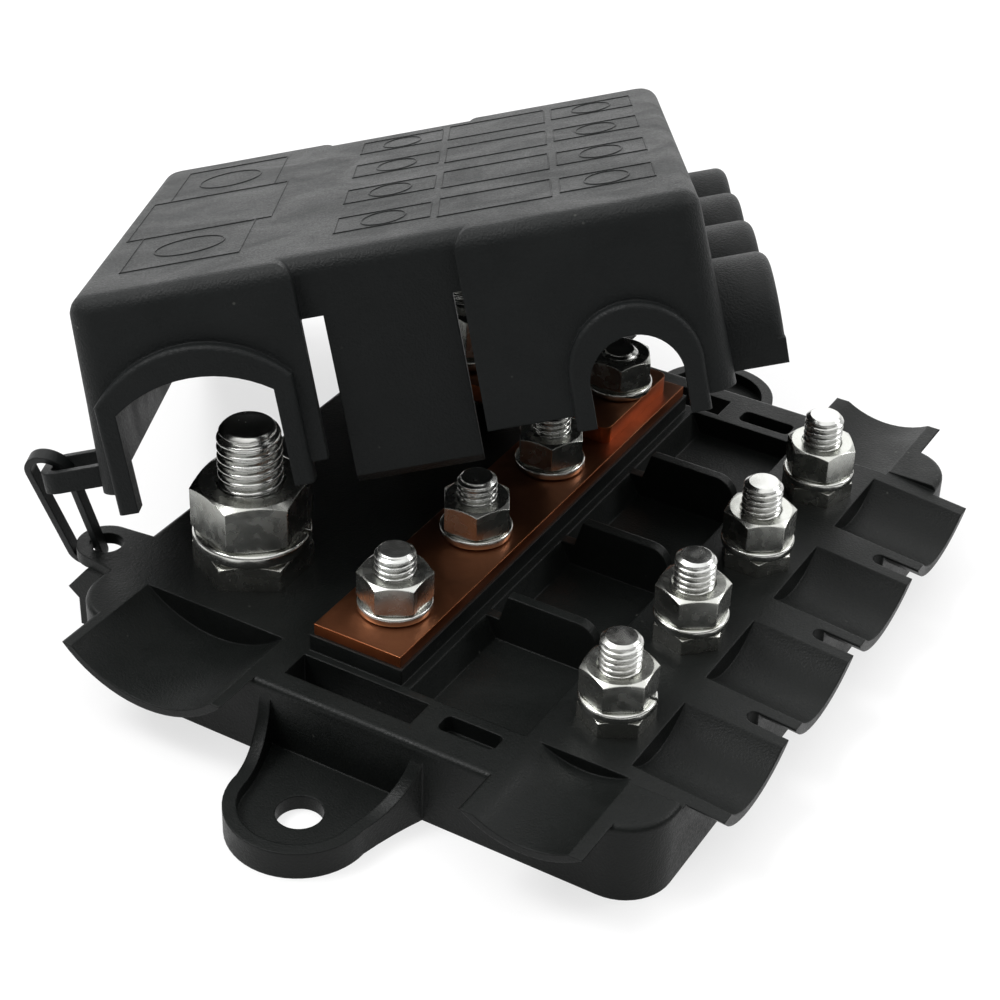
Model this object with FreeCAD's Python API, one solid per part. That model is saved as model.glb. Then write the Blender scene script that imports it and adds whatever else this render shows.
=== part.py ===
import FreeCAD
import Part
import math
import os

# Power distribution block: a moulded insulating tray with four fused outlets, two feed studs,
# a copper bus bar, and a moulded cover that hangs on the tray by a short tether link.
# Frame: origin midway between the two fixing ears on the underside, +Z up, outlets towards +X.

vec = FreeCAD.Vector
up = vec(0, 0, 1)
along_x = vec(1, 0, 0)
along_y = vec(0, 1, 0)

# tray body
tray_length = 89.4
tray_width = 79.8
tray_corner = 6.0
deck_top = 10.5
deck_thickness = 2.2
skirt = 1.8
tray_edge_round = 0.8
underside_rib = 1.6

# outlets: stud rows, bays and dividers
outlet_count = 4
outlet_pitch = 18.6
bus_row_x = -3.3
outlet_row_x = 26.7
bay_left = 4.2
bay_right = 19.8
bay_floor = 7.5
bay_floor_thickness = 1.8
bay_slope = 1.5
divider_thickness = 1.4
divider_top = 14.2
divider_corner = 2.6
divider_slant = 2.2
divider_gap = 0.6
platform_right = 32.2

# outlet cradles on the right edge
cradle_tip = 45.3
cradle_drop = 1.3
cradle_outer = 10.6
cradle_inner = 9.2
cradle_axis_rise = 6.4
cradle_notch = 2.1
cradle_notch_depth = 1.0
cradle_notch_floor = 7.4

# cable troughs at the two ends
trough_tip = 51.0
feed_trough_x = -23.6
feed_trough_axis_z = 21.2
feed_trough_outer = 15.7
feed_trough_start = 36.4
side_trough_x = 27.4
side_trough_axis_z = 20.6
side_trough_outer = 12.7
side_trough_start = 36.5
trough_wall = 1.0

# catch slots and grooves near the ends
slot_left = -9.7
slot_right = 7.6
slot_inner = 37.6
slot_outer = 41.7
groove_left = 10.4
groove_right = 17.9
groove_inner = 38.0
groove_outer = 40.7
groove_depth = 2.2
groove_corner = 0.8

# fixing ears
ear_end_y = 52.9
ear_radius = 8.7
ear_floor = 2.0
ear_rim = 3.6
ear_rim_width = 1.6
ear_root_half = 12.0
ear_root_height = 8.6
ear_ramp_end = 51.5
ear_hole = 5.6

# tether lug on the left wall
lug_x = -43.5
lug_y = -32.2
lug_hole = 4.2
lug_bar = 1.7
lug_thickness = 1.6
lug_root_half = 4.3
lug_rib_width = 3.6
lug_rib_foot = 45.0
lug_rib_foot_height = 4.0
lug_rib_reach = 46.6
lug_rib_step = 1.2

# bus bar and link bar
bar_width = 12.0
bar_thickness = 1.5
bar_front = -36.1
bar_rear = 36.1
strip_height = 2.2
strip_margin = 0.4
link_thickness = 2.4
link_width = 17.2
link_right = 1.0
link_left = -33.4
link_y = 25.7
link_corner = 1.2
bar_hole_clearance = 0.25

# small studs, washers and nuts (M5)
small_stud = 5.0
small_flats = 8.0
small_nut_height = 4.0
small_washer_outer = 9.2
small_washer_height = 1.2
small_collar_height = 2.4
outlet_stud_top = 22.05
bus_stud_top = 22.4

# feed studs, washers and nuts (M8)
feed_row_x = -25.7
feed_spacing = 51.0
feed_stud = 8.0
feed_flats = 13.0
feed_nut_height = 6.5
feed_washer_outer = 14.8
feed_washer_height = 2.0
feed_stud_top = 30.6
feed_boss = 17.0

# fits shared by the fasteners
thread_clearance = 0.06
washer_clearance = 0.15
anchor_depth = 6.0
anchor_clearance = 0.05
face_chamfer = 0.42
washer_split = 0.7
nut_sink = 0.35
small_tip = 0.5
feed_tip = 1.1
tip_slope = 0.8
dimple_width = 0.35
dimple_depth = 0.16

# how far a cutting tool runs past the face that it opens
over = 1.0
# how near an edge lies to the face that it is picked by
hair = 0.01

# cover moulding, in its own frame: front left bottom corner at the origin
cover_width = 76.2
cover_length = 85.3
cover_height = 23.6
cover_draft_x = 1.0
cover_draft_y = 1.2
cover_corner = 3.2
cover_edge = 2.4
cover_wall = 1.7
cover_top = 1.9
big_arch_left = 2.0
big_arch_right = 25.6
big_arch_top = 16.4
big_arch_shoulder = 11.0
big_arch_leg = 2.3
small_arch_left = 56.9
small_arch_right = 72.8
small_arch_top = 12.4
small_arch_shoulder = 4.6
small_arch_leg = 1.7
rim_width = 2.4
rim_crown = 3.7
rim_height = 0.9
rim_round = 0.7
rim_overlap = 0.3
recess_left = 27.6
recess_right = 46.6
recess_depth = 3.2
tongue_left = 30.1
tongue_right = 45.4
tongue_tip = 4.6
tongue_root = 7.3
tongue_bevel = 1.0
tongue_backset = 0.1
hood_reach = 6.7
hood_outer = 8.6
hood_wall = 1.3
hood_axis_z = 3.4
hood_bottom = 0.3
hood_round = 1.6
ring_reach = 7.8
ring_y = 8.8
ring_width = 8.0
ring_band = 1.2
ring_height = 2.6
ring_bend = 2.2

# pose of the open cover beside the tray
cover_yaw = 33.223
cover_pitch = -11.541
cover_roll = -15.619
cover_at_x = -36.45
cover_at_y = -40.87
cover_at_z = 24.6

# tether link
link_band = 0.9
link_depth = 1.6
link_top_gap = 4.4
link_bottom_gap = 3.2
link_slack = 1.0
link_lug_shift = -0.7
link_ring_y = 9.4
link_head_room = 0.6
link_twist = 15.0


os.makedirs("parts", exist_ok=True)


def save(shape, name):
    shape.exportStep("parts/" + name + ".step")


def box(x0, x1, y0, y1, z0, z1):
    return Part.makeBox(x1 - x0, y1 - y0, z1 - z0, vec(x0, y0, z0))


def quarter_turn(a):
    return vec(round(math.cos(a * math.pi / 2)), round(math.sin(a * math.pi / 2)), 0)


def rounded_wire(x0, x1, y0, y1, radius, z):
    half = radius * math.sqrt(0.5)
    edges = []
    last = vec(x0 + radius, y0, z)
    for cx, cy, a in ((x1, y0, -1), (x1, y1, 0), (x0, y1, 1), (x0, y0, 2)):
        sx = -1 if cx == x1 else 1
        sy = -1 if cy == y1 else 1
        mid = vec(cx + sx * radius, cy + sy * radius, z)
        begin = mid.add(quarter_turn(a).multiply(radius))
        finish = mid.add(quarter_turn(a + 1).multiply(radius))
        edges.append(Part.makeLine(last, begin))
        edges.append(Part.Arc(begin, vec(mid.x - sx * half, mid.y - sy * half, z), finish).toShape())
        last = finish
    edges[0] = Part.makeLine(last, edges[1].valueAt(edges[1].FirstParameter))
    return Part.Wire(edges)


def rounded_prism(x0, x1, y0, y1, radius, z0, z1):
    return Part.Face(rounded_wire(x0, x1, y0, y1, radius, z0)).extrude(vec(0, 0, z1 - z0))


def prism(points, direction):
    return Part.Face(Part.makePolygon(list(points) + [points[0]])).extrude(direction)


def turned(profile, x, y):
    points = [vec(r, 0, z) for r, z in profile]
    shape = Part.Face(Part.makePolygon(points + [points[0]])).revolve(vec(), up, 360)
    shape.translate(vec(x, y, 0))
    return shape


def hexagon(flats, z0, z1, turn):
    corner = flats / math.sqrt(3)
    angles = [math.radians(turn + 60 * k) for k in range(6)]
    points = [vec(corner * math.cos(a), corner * math.sin(a), z0) for a in angles]
    return prism(points, vec(0, 0, z1 - z0))


def chamfered_hexagon(flats, z0, z1, turn, both):
    # the turned chamfer trims the six corners of the bar stock
    corner = flats / math.sqrt(3) + 0.01
    flat_radius = flats / 2 * 0.97
    upper = [(corner, z1 - face_chamfer), (flat_radius, z1), (0, z1)]
    lower = [(0, z0), (flat_radius, z0), (corner, z0 + face_chamfer)] if both else [(0, z0), (corner, z0)]
    return hexagon(flats, z0, z1, turn).common(turned(lower + upper, 0, 0))


def nut(flats, bore, height, x, y, z, turn):
    body = chamfered_hexagon(flats, z, z + height, turn, True)
    hole = bore / 2 + thread_clearance
    flare = hole + nut_sink + over
    low = [(0, z - over), (flare, z - over), (hole, z + nut_sink)]
    high = [(hole, z + height - nut_sink), (flare, z + height + over), (0, z + height + over)]
    body = body.cut(turned(low + high, 0, 0))
    body.translate(vec(x, y, 0))
    return body


def spring_washer(outer, bore, height, x, y, z, turn):
    ring = Part.makeCylinder(outer / 2, height, vec(0, 0, z))
    ring = ring.cut(Part.makeCylinder(bore / 2 + washer_clearance, height, vec(0, 0, z)))
    cut = box(0, outer, 0, washer_split, z, z + height)
    cut.rotate(vec(), up, turn)
    ring = ring.cut(cut)
    ring.translate(vec(x, y, 0))
    return ring


def stud(diameter, z0, z1, tip, x, y):
    r = diameter / 2
    end = [(r, z1 - tip), (r - tip * tip_slope, z1), (r * dimple_width, z1), (0, z1 - r * dimple_depth)]
    return turned([(0, z0), (r, z0)] + end, x, y)


def mirrored(shape):
    return shape.mirror(vec(), along_y)


half_length = tray_length / 2
half_width = tray_width / 2
bay_y = [outlet_pitch * (k - (outlet_count - 1) / 2) for k in range(outlet_count)]
divider_y = [outlet_pitch * (k - (outlet_count - 2) / 2) for k in range(outlet_count - 1)]
bar_left = bus_row_x - bar_width / 2
bar_right = bus_row_x + bar_width / 2
bar_bottom = deck_top + strip_height
bar_top = bar_bottom + bar_thickness
link_top = bar_top + link_thickness
feed_y = [-feed_spacing / 2, feed_spacing / 2]

# Tray: a one-piece glass-filled nylon moulding, a deck on a skirt with an open underside.
tray = rounded_prism(-half_width, half_width, -half_length, half_length, tray_corner, 0, deck_top)
top_edges = [e for e in tray.Edges if e.BoundBox.ZMin > deck_top - 0.01]
tray = tray.makeFillet(tray_edge_round, top_edges)
strip_left = bar_left - strip_margin
strip_right = bar_right + strip_margin
strip_front = bar_front - strip_margin
strip_rear = bar_rear + strip_margin
tray = tray.fuse(box(strip_left, strip_right, strip_front, strip_rear, deck_top - over, bar_bottom))

# Fuse bays between the bus strip and the outlet platform, each with a sloped side.
for y in bay_y:
    low = y - outlet_pitch / 2 + divider_thickness / 2
    slope_foot = (bay_left + bay_slope, bay_floor)
    section = [(bay_left, deck_top), (bay_right, deck_top), (bay_right, bay_floor), slope_foot]
    tray = tray.cut(prism([vec(x, low, z) for x, z in section], vec(0, outlet_pitch - divider_thickness, 0)))

# Upright dividers between the bays, slanted at the bus bar end and rounded at the outlet end.
for y in divider_y:
    low = y - divider_thickness / 2
    left = bay_left + bay_slope / 2
    right = bay_right - divider_gap
    foot = bay_floor - over
    fin_side = [(left, foot), (right, foot), (right, divider_top), (left + divider_slant, divider_top)]
    fin = prism([vec(x, low, z) for x, z in fin_side], vec(0, divider_thickness, 0))
    tip = [e for e in fin.Edges if e.BoundBox.XMin > right - hair and e.BoundBox.ZMin > divider_top - hair]
    fin = fin.makeFillet(divider_corner, tip)
    tray = tray.fuse(fin)

# Cable troughs at both ends: arcs sunk in the deck edge that run out as spouts.
feed_trough = (feed_trough_x, feed_trough_axis_z, feed_trough_outer, feed_trough_start)
side_trough = (side_trough_x, side_trough_axis_z, side_trough_outer, side_trough_start)
for x, z, outer, start in (feed_trough, side_trough):
    run = trough_tip - start
    spout = Part.makeCylinder(outer, run, vec(x, -trough_tip, z), along_y)
    spout = spout.common(box(x - outer, x + outer, -trough_tip, -start, 0, deck_top))
    bore = Part.makeCylinder(outer - trough_wall, run + over, vec(x, -trough_tip - over, z), along_y)
    tray = tray.fuse(spout).fuse(mirrored(spout))
    tray = tray.cut(bore).cut(mirrored(bore))

# Underside: cored out between the skirt, the ribs, the stud bosses and the troughs.
ceiling = deck_top - deck_thickness
core_right = strip_left - underside_rib
left_core = box(-half_width + skirt, core_right, -half_length + skirt, half_length - skirt, 0, ceiling)
left_core = left_core.cut(box(-half_width, 0, -underside_rib / 2, underside_rib / 2, 0, ceiling))
for y in feed_y:
    left_core = left_core.cut(Part.makeCylinder(feed_boss / 2, ceiling, vec(feed_row_x, y, 0)))
skin_start = vec(feed_trough_x, -half_length, feed_trough_axis_z)
trough_skin = Part.makeCylinder(feed_trough_outer, tray_length, skin_start, along_y)
trough_zone = box(-half_width, 0, -half_length, -feed_trough_start + trough_wall, 0, ceiling)
left_core = left_core.cut(trough_skin.common(trough_zone)).cut(trough_skin.common(mirrored(trough_zone)))
tray = tray.cut(left_core)
for y in bay_y:
    low = y - outlet_pitch / 2 + underside_rib / 2
    high = y + outlet_pitch / 2 - underside_rib / 2
    bay_core = box(bay_left, bay_right - underside_rib / 2, low, high, 0, bay_floor - bay_floor_thickness)
    tray = tray.cut(bay_core)

# Right edge: the deck falls away gently from the platform and carries one cradle per outlet.
slope = math.atan2(cradle_drop, cradle_tip - platform_right)
past_tip = cradle_tip + cradle_inner
sky = deck_top + cradle_inner
low_end = deck_top - math.tan(slope) * (past_tip - platform_right)
fall = [(platform_right, deck_top), (past_tip, low_end), (past_tip, sky), (platform_right, sky)]
above = prism([vec(x, -half_length, z) for x, z in fall], vec(0, tray_length, 0))
run = (cradle_tip - platform_right) / math.cos(slope)
heading = vec(math.cos(slope), 0, -math.sin(slope))
cradles = []
bores = []
for y in bay_y:
    start = vec(platform_right, y, deck_top + cradle_axis_rise)
    cradles.append(Part.makeCylinder(cradle_outer, run, start, heading))
    bores.append(Part.makeCylinder(cradle_inner, run + 2 * over, start, heading))
field_front = bay_y[0] - outlet_pitch / 2
field_rear = bay_y[-1] + outlet_pitch / 2
field = box(platform_right, cradle_tip, field_front, field_rear, 0, deck_top + over)
for cradle in cradles:
    tray = tray.fuse(cradle.common(field).cut(above))
right_zone = box(platform_right, past_tip, field_front, field_rear, bay_floor, sky)
tray = tray.cut(above.common(right_zone))
for bore in bores:
    tray = tray.cut(bore.common(right_zone.fuse(field)))
notch_x = half_width - cradle_notch_depth + cradle_notch / 2
notch_top = deck_top + over
for y in divider_y:
    low = y - cradle_notch / 2
    notch = box(notch_x, cradle_tip + over, low, low + cradle_notch, cradle_notch_floor, notch_top)
    notch_end = vec(notch_x, y, cradle_notch_floor)
    notch = notch.fuse(Part.makeCylinder(cradle_notch / 2, notch_top - cradle_notch_floor, notch_end))
    tray = tray.cut(notch)

# Catch slots for the cover's tongues, and a short blind pocket beside each.
slot = box(slot_left, slot_right, -slot_outer, -slot_inner, -over, deck_top + over)
groove_floor = deck_top - groove_depth
groove_sides = (groove_left, groove_right, -groove_outer, -groove_inner)
groove = rounded_prism(*groove_sides, groove_corner, groove_floor, notch_top)
for cut in (slot, mirrored(slot), groove, mirrored(groove)):
    tray = tray.cut(cut)

# Fixing ears: U-shaped tongues with a raised rim that sweeps up to the skirt.
def ear_outline(inset, z):
    r = ear_radius - inset
    root = ear_root_half - inset
    start = vec(-root, -half_length + skirt, z)
    left = vec(-r, -ear_end_y, z)
    right = vec(r, -ear_end_y, z)
    finish = vec(root, -half_length + skirt, z)
    waist = -half_length - (ear_end_y - half_length) * 0.6
    flare_left = Part.BSplineCurve()
    flare_left.interpolate([start, vec(-r - (root - r) * 0.25, waist, z), left])
    flare_right = Part.BSplineCurve()
    flare_right.interpolate([right, vec(r + (root - r) * 0.25, waist, z), finish])
    arc = Part.Arc(left, vec(0, -ear_end_y - r, z), right).toShape()
    return Part.Wire([flare_left.toShape(), arc, flare_right.toShape(), Part.makeLine(finish, start)])


ear_top = ear_root_height + over
ear = Part.Face(ear_outline(0, 0)).extrude(vec(0, 0, ear_top))
ear_well = Part.Face(ear_outline(ear_rim_width, ear_floor)).extrude(vec(0, 0, ear_top))
ear = ear.cut(ear_well)
ramp_start = vec(0, -half_length, ear_root_height)
ramp_end = vec(0, -ear_ramp_end, ear_rim)
sweep_run = ear_ramp_end - half_length
ramp_mid = vec(0, -half_length - sweep_run * 0.32, ear_rim + (ear_root_height - ear_rim) * 0.36)
far = -ear_end_y - ear_radius - over
near = -half_length + skirt
corners = [vec(0, far, ear_rim), vec(0, far, -over), vec(0, near, -over), vec(0, near, ear_root_height)]
ramp_arc = Part.Arc(ramp_start, ramp_mid, ramp_end).toShape()
ramp_rest = Part.makePolygon([ramp_end] + corners + [ramp_start])
ramp = Part.Face(Part.Wire([ramp_arc] + ramp_rest.Edges)).extrude(vec(4 * ear_radius, 0, 0))
ramp.translate(vec(-2 * ear_radius, 0, 0))
ear = ear.common(ramp)
ear = ear.cut(box(-ear_root_half, ear_root_half, -half_length + hair, 0, -over, ear_top + over))
ear = ear.cut(Part.makeCylinder(ear_hole / 2, ear_floor + 2 * over, vec(0, -ear_end_y, -over)))
tray = tray.fuse(ear).fuse(mirrored(ear))

# Tether lug: a flat eye flush with the deck on the left wall, with a short rib below it.
eye_radius = lug_hole / 2 + lug_bar
lug_bottom = deck_top - lug_thickness
eye = Part.makeCylinder(eye_radius, lug_thickness, vec(lug_x, lug_y, lug_bottom))
root_x = -half_width + skirt / 2
plan = [(lug_x, -eye_radius), (root_x, -lug_root_half), (root_x, lug_root_half), (lug_x, eye_radius)]
root = prism([vec(x, lug_y + y, lug_bottom) for x, y in plan], vec(0, 0, lug_thickness))
rib_y = lug_y - lug_root_half
rib_step = lug_rib_foot_height + lug_rib_step
rib_foot = [(root_x, 0), (-lug_rib_foot, 0), (-lug_rib_foot, lug_rib_foot_height)]
rib_head = [(-lug_rib_reach, rib_step), (lug_x, lug_bottom), (root_x, lug_bottom)]
rib = prism([vec(x, rib_y, z) for x, z in rib_foot + rib_head], vec(0, lug_rib_width, 0))
eye_bore = Part.makeCylinder(lug_hole / 2, lug_thickness + 2 * over, vec(lug_x, lug_y, lug_bottom - over))
eye = eye.fuse(root).cut(eye_bore)
tray = tray.fuse(eye).fuse(rib)

# Bores that anchor the studs in the tray.
anchors = [(bus_row_x, y, bar_bottom, small_stud) for y in bay_y]
anchors += [(outlet_row_x, y, deck_top, small_stud) for y in bay_y]
anchors += [(feed_row_x, y, deck_top, feed_stud) for y in feed_y]
for x, y, z, diameter in anchors:
    radius = diameter / 2 + anchor_clearance
    tray = tray.cut(Part.makeCylinder(radius, anchor_depth, vec(x, y, z - anchor_depth)))
tray = tray.removeSplitter()
save(tray, "base_tray")

# Bus bar: sheared copper strip, with a clearance hole at each outlet stud.
bus_bar = box(bar_left, bar_right, bar_front, bar_rear, bar_bottom, bar_top)
small_hole = small_stud / 2 + bar_hole_clearance
feed_hole = feed_stud / 2 + bar_hole_clearance
for y in bay_y:
    bus_bar = bus_bar.cut(Part.makeCylinder(small_hole, bar_thickness, vec(bus_row_x, y, bar_bottom)))
save(bus_bar, "bus_bar")

# Link bar: a heavier copper strap from the rear feed stud to the last bus bar stud.
link_front = link_y - link_width / 2
link_rear = link_y + link_width / 2
link_bar = rounded_prism(link_left, link_right, link_front, link_rear, link_corner, bar_top, link_top)
link_bar = link_bar.cut(Part.makeCylinder(small_hole, link_thickness, vec(bus_row_x, bay_y[-1], bar_top)))
link_bar = link_bar.cut(Part.makeCylinder(feed_hole, link_thickness, vec(feed_row_x, feed_y[1], bar_top)))
save(link_bar, "link_bar")

# Bus bar studs with their spring washers and nuts. The last one clamps the link bar too.
def small_washer(x, y, z, turn):
    return spring_washer(small_washer_outer, small_stud, small_washer_height, x, y, z, turn)


def small_nut(x, y, z, turn):
    return nut(small_flats, small_stud, small_nut_height, x, y, z, turn)


bus_studs = []
bus_washers = []
bus_nuts = []
outlet_studs = []
outlet_washers = []
outlet_nuts = []
collar_top = deck_top + small_collar_height
for k, y in enumerate(bay_y):
    seat = link_top if k == outlet_count - 1 else bar_top
    nut_seat = seat + small_washer_height
    bus_studs.append(stud(small_stud, bar_bottom - anchor_depth, bus_stud_top, small_tip, bus_row_x, y))
    bus_washers.append(small_washer(bus_row_x, y, seat, 200 + 40 * k))
    bus_nuts.append(small_nut(bus_row_x, y, nut_seat, 1 + 30 * (k > 0)))
    post = stud(small_stud, deck_top - anchor_depth, outlet_stud_top, small_tip, outlet_row_x, y)
    collar = chamfered_hexagon(small_flats, deck_top, collar_top, 14 * k, False)
    collar.translate(vec(outlet_row_x, y, 0))
    nut_seat = collar_top + small_washer_height
    outlet_studs.append(post.fuse(collar).removeSplitter())
    outlet_washers.append(small_washer(outlet_row_x, y, collar_top, 250 - 50 * k))
    outlet_nuts.append(small_nut(outlet_row_x, y, nut_seat, 5 + 30 * (k > 2)))
save(Part.makeCompound(bus_studs), "bus_studs")
save(Part.makeCompound(bus_washers), "bus_spring_washers")
save(Part.makeCompound(bus_nuts), "bus_nuts")
save(Part.makeCompound(outlet_studs), "outlet_studs")
save(Part.makeCompound(outlet_washers), "outlet_spring_washers")
save(Part.makeCompound(outlet_nuts), "outlet_nuts")

# Feed studs: each a threaded post with a hexagon collar level with the bus bar's top.
for y, name, seat, turn in ((feed_y[0], "front", bar_top, 2), (feed_y[1], "rear", link_top, 20)):
    post = stud(feed_stud, deck_top - anchor_depth, feed_stud_top, feed_tip, feed_row_x, y)
    collar = chamfered_hexagon(feed_flats, deck_top, bar_top, turn, False)
    collar.translate(vec(feed_row_x, y, 0))
    save(post.fuse(collar).removeSplitter(), "feed_stud_" + name)
    washer = spring_washer(feed_washer_outer, feed_stud, feed_washer_height, feed_row_x, y, seat, 280)
    save(washer, "feed_spring_washer_" + name)
    nut_seat = seat + feed_washer_height
    save(nut(feed_flats, feed_stud, feed_nut_height, feed_row_x, y, nut_seat, turn + 9), "feed_nut_" + name)


# Cover: a drafted box shell, open below, with arches, tongues, hoods and a tether ring.
def cover_block(inset, height):
    lift = height / cover_height
    low = rounded_wire(inset, cover_width - inset, inset, cover_length - inset, cover_corner - inset, 0)
    dx = inset + cover_draft_x * lift
    dy = inset + cover_draft_y * lift
    high = rounded_wire(dx, cover_width - dx, dy, cover_length - dy, cover_corner - inset, height)
    return Part.makeLoft([low, high], True, True)


def arch(left, right, top, shoulder, bottom, y0, y1):
    a = vec(left, y0, bottom)
    b = vec(left, y0, shoulder)
    c = vec((left + right) / 2, y0, top)
    d = vec(right, y0, shoulder)
    e = vec(right, y0, bottom)
    edges = [Part.makeLine(a, b), Part.Arc(b, c, d).toShape(), Part.makeLine(d, e), Part.makeLine(e, a)]
    return Part.Face(Part.Wire(edges)).extrude(vec(0, y1 - y0, 0))


def far_side(shape):
    return shape.mirror(vec(0, cover_length / 2, 0), along_y)


recess = box(recess_left, recess_right, -over, recess_depth, -over, cover_height + over)
cover = cover_block(0, cover_height)
cover = cover.cut(recess).cut(far_side(recess))
top_edges = [e for e in cover.Edges if e.BoundBox.ZMin > cover_height - 0.01]
cover = cover.makeFillet(cover_edge, top_edges)
hollow = cover_block(cover_wall, cover_height - cover_top)
ceiling_edges = [e for e in hollow.Edges if e.BoundBox.ZMin > cover_height - cover_top - 0.01]
hollow = hollow.makeFillet(cover_edge - cover_wall, ceiling_edges)


# Spring tongue in each end's recess, freed from the walls beside it by two slits.
deep = recess_depth + cover_wall
tongue_slit_top = cover_height - tongue_root
lining = box(recess_left - cover_wall, recess_right + cover_wall, 0, deep, tongue_slit_top, cover_height)
hollow = hollow.cut(lining).cut(far_side(lining))
cover = cover.cut(hollow)
gap = box(recess_left, recess_right, -over, deep + over, -over, tongue_slit_top)
cover = cover.cut(gap).cut(far_side(gap))
bevel = recess_depth + tongue_bevel
back = deep - tongue_backset
tongue_outer = [(recess_depth, tongue_slit_top), (recess_depth, tongue_bevel - tongue_tip)]
tongue_inner = [(bevel, -tongue_tip), (back, -tongue_tip), (back, tongue_slit_top)]
outline = [vec(tongue_left, y, z) for y, z in tongue_outer + tongue_inner]
tongue = prism(outline, vec(tongue_right - tongue_left, 0, 0))
cover = cover.fuse(tongue).fuse(far_side(tongue))

# Cable arches at each end, with a raised rim whose legs reach below the wall.
big_arch = (big_arch_left, big_arch_right, big_arch_top, big_arch_shoulder, big_arch_leg)
small_arch = (small_arch_left, small_arch_right, small_arch_top, small_arch_shoulder, small_arch_leg)
for left, right, top, shoulder, leg in (big_arch, small_arch):
    rim = arch(left, right, top, shoulder, -leg, -rim_height, cover_wall + rim_overlap)
    front = [e for e in rim.Edges if e.BoundBox.YMax < hair - rim_height and e.BoundBox.ZMax > hair - leg]
    rim = rim.makeFillet(rim_round, front)
    inner_left = left + rim_width
    inner_right = right - rim_width
    inner_shoulder = shoulder - rim_crown + rim_width
    hole_end = cover_wall + 2 * over
    hole_sides = (inner_left, inner_right, top - rim_crown, inner_shoulder)
    hole = arch(*hole_sides, -leg - over, -rim_height - over, hole_end)
    cover = cover.fuse(rim).fuse(far_side(rim))
    cover = cover.cut(hole).cut(far_side(hole))

# Outlet hoods: short half pipes along the right wall, one over each outlet.
hood_root = cover_width - cover_draft_x - cover_wall
hood_end = cover_width + hood_reach
hood_inner = hood_outer - hood_wall
for k in range(outlet_count):
    y = cover_length / 2 + bay_y[k]
    pipe = Part.makeCylinder(hood_outer, hood_end - hood_root, vec(hood_root, y, hood_axis_z), along_x)
    end = [e for e in pipe.Edges if e.BoundBox.XMin > hood_end - hair]
    pipe = pipe.makeFillet(hood_round, end)
    legs = box(hood_root, hood_end, y - hood_outer, y + hood_outer, hood_bottom, hood_axis_z)
    upper = box(hood_root, hood_end, y - hood_outer, y + hood_outer, hood_axis_z, hood_axis_z + hood_outer)
    pipe = pipe.common(upper).fuse(legs)
    bore_start = hood_root - 2 * over
    bore_end = hood_end + over
    bore = Part.makeCylinder(hood_inner, bore_end - bore_start, vec(bore_start, y, hood_axis_z), along_x)
    below = -hood_outer
    bore = bore.fuse(box(bore_start, bore_end, y - hood_inner, y + hood_inner, below, hood_axis_z))
    cover = cover.fuse(pipe).cut(bore)

# Tether ring: a flat band bent into a loop on the left wall.
ring_front = ring_y - ring_width / 2
ring_rear = ring_y + ring_width / 2
inner_bend = ring_bend - ring_band
ring = rounded_prism(-ring_reach, ring_bend, ring_front, ring_rear, ring_bend, 0, ring_height)
eye_end = ring_bend + inner_bend + over
eye = rounded_prism(
    ring_band - ring_reach, eye_end, ring_front + ring_band, ring_rear - ring_band,
    inner_bend, -over, ring_height + over)
ring = ring.cut(eye).cut(hollow)
ring = ring.cut(box(cover_wall, eye_end, 0, ring_rear + ring_width, -over, ring_height + over))
cover = cover.fuse(ring).removeSplitter()
cover_at = vec(cover_at_x, cover_at_y, cover_at_z)
pose = FreeCAD.Placement(cover_at, FreeCAD.Rotation(cover_yaw, cover_pitch, cover_roll))
cover.Placement = pose.multiply(cover.Placement)
save(cover, "cover")

# Tether link: a closed flat band through the lug's eye and round the ring.
lug_axis = vec(lug_x - lug_hole / 2 - lug_bar / 2, lug_y + link_lug_shift, deck_top - lug_thickness / 2)
ring_axis = pose.multVec(vec(-ring_reach + ring_band / 2, link_ring_y, ring_height / 2))
span = ring_axis.sub(lug_axis)
reach = span.Length


def loop(grow, depth):
    # two half circles joined by straight strands, in the local X-Z plane
    high = link_top_gap / 2 + grow
    low = link_bottom_gap / 2 + grow
    foot = -link_slack
    a = vec(-low, 0, foot)
    head = reach + link_head_room
    b = vec(-high, 0, head)
    c = vec(high, 0, head)
    d = vec(low, 0, foot)
    top_bend = Part.Arc(b, vec(0, 0, head + high), c).toShape()
    bottom_bend = Part.Arc(d, vec(0, 0, foot - low), a).toShape()
    face = Part.Face(Part.Wire([Part.makeLine(a, b), top_bend, Part.makeLine(c, d), bottom_bend]))
    face.translate(vec(0, -depth / 2, 0))
    return face.extrude(vec(0, depth, 0))


tether = loop(link_band, link_depth).cut(loop(0, link_depth + 2))
tether.rotate(vec(), up, link_twist)
tilt = FreeCAD.Rotation(up, span)
tether.Placement = FreeCAD.Placement(lug_axis, tilt).multiply(tether.Placement)
save(tether, "tether_link")
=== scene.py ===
import math
import bmesh
import bpy
from mathutils import Matrix, Vector


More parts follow.
